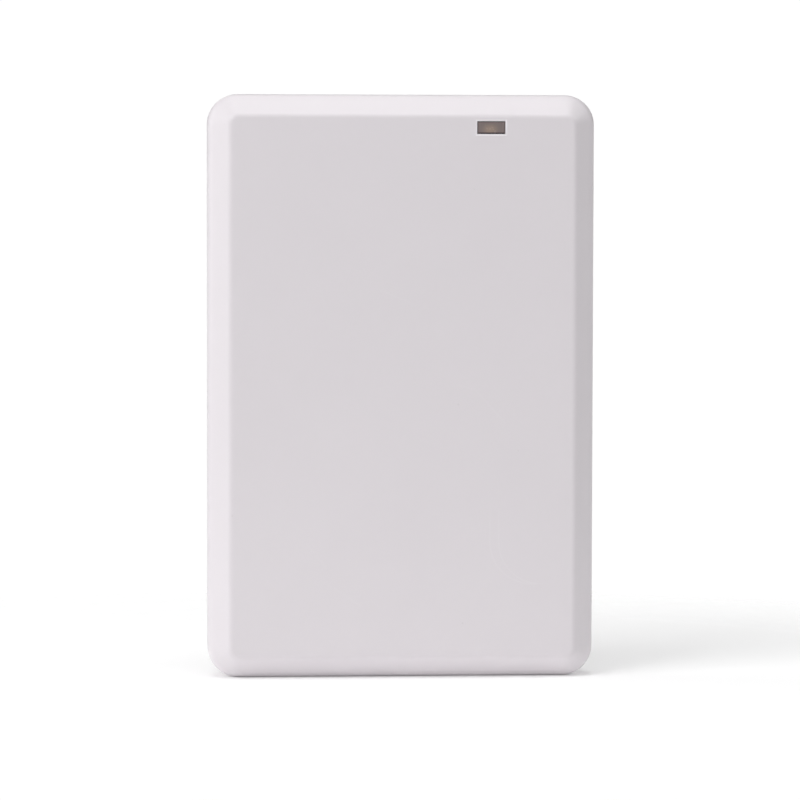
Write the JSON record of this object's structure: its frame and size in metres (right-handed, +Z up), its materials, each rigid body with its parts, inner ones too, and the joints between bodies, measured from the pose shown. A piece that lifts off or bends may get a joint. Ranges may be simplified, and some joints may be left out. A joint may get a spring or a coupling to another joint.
{
  "type": "rfid card reader",
  "caption": "Flat white desktop proximity-card reader with a bevelled rim, a small indicator window and a USB receptacle in its top edge.",
  "frame": {"origin": "middle of the bottom of the reader's box, as it stands upright on its short bottom edge", "axes": "+X to the right across the width, -Y out of the scan face, +Z up along the height"},
  "size_m": [0.07, 0.0126, 0.1054],
  "materials": {
    "shell_white": "fine-grained satin moulded ABS, white with a faint cool pink cast",
    "lens_smoke": "smoked clear plastic, polished",
    "lamp": "milky resin over a ceramic package",
    "foot_rubber": "soft matte elastomer, slightly dusty",
    "screw_steel": "zinc-plated steel, satin",
    "label_paper": "blank satin sticker",
    "board_green": "glass-fibre laminate with solder mask",
    "copper_wire": "enamelled copper wire, glossy varnish",
    "tape": "thin amber polyimide tape",
    "solder": "solder and tinned leads, satin",
    "chip_black": "moulded epoxy, finely matte",
    "can_metal": "nickel-plated sheet, satin",
    "buzzer_black": "moulded black plastic",
    "capacitor_tan": "fired ceramic body with tinned ends",
    "resistor_black": "glazed ceramic body with tinned ends",
    "tantalum_yellow": "moulded epoxy case",
    "fuse_green": "laminated polymer fuse",
    "ferrite": "sintered ferrite, matte",
    "tongue_black": "glass-filled nylon",
    "contact_gold": "gold-plated contact"
  },
  "bodies": {
    "root": {"front_shell": "shell_white", "rear_shell": "shell_white", "indicator_lens": "lens_smoke", "status_led": "lamp", "main_board": "board_green", "antenna_coil": "copper_wire", "coil_tapes": "tape", "coil_leads": "copper_wire", "coil_solder": "solder", "controller_chip": "chip_black", "controller_leads": "solder", "reader_chip": "chip_black", "reader_leads": "solder", "crystal": "can_metal", "regulator_leads": "solder", "surge_array_leads": "solder", "transistor_leads": "solder", "chip_ends": "solder", "buzzer": "buzzer_black", "buzzer_transistor": "chip_black", "voltage_regulator": "chip_black", "input_capacitor": "tantalum_yellow", "usb_fuse": "fuse_green", "surge_array": "chip_black", "filter_inductors": "ferrite", "chip_capacitors": "capacitor_tan", "chip_resistors": "resistor_black", "socket_shell": "can_metal", "socket_tongue": "tongue_black", "socket_contacts": "contact_gold", "case_screws": "screw_steel", "rating_label": "label_paper", "rubber_foot_1": "foot_rubber", "rubber_foot_2": "foot_rubber", "rubber_foot_3": "foot_rubber", "rubber_foot_4": "foot_rubber"}
  },
  "joints": []
}
